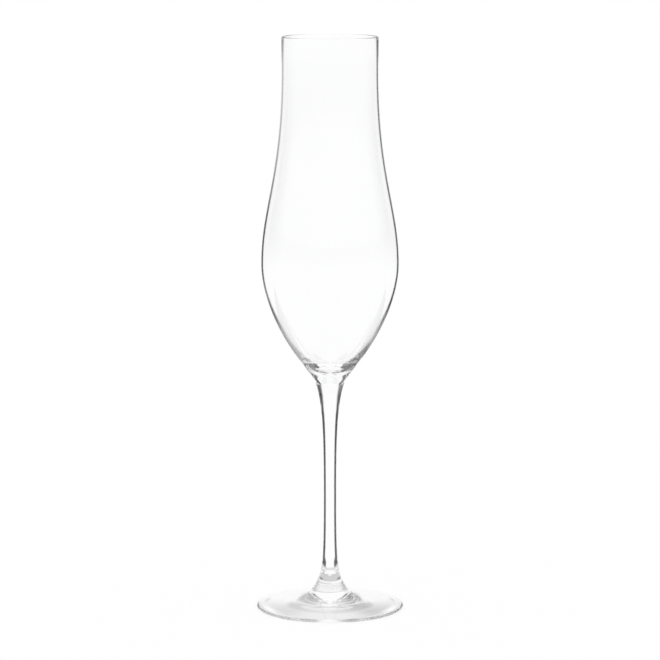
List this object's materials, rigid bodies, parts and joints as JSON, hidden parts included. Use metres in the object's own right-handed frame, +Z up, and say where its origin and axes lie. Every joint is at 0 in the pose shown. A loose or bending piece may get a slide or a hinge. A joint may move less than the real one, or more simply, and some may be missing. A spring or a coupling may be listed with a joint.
{
  "type": "champagne glass",
  "caption": "Tulip-shaped champagne glass: a thin blown bowl on a slender waisted stem, fused to a wide round foot; it holds a sparkling drink.",
  "frame": {"origin": "centre of the foot, on the table that the glass stands on", "axes": "+Z up along the axis of the glass, from the foot to the rim; the glass is round, so X and Y are any two square directions"},
  "size_m": [0.0668, 0.0668, 0.26],
  "materials": {
    "clear_glass": "clear, colourless, fire-polished"
  },
  "bodies": {
    "root": {"bowl": "clear_glass", "stem": "clear_glass", "foot": "clear_glass"}
  },
  "joints": []
}
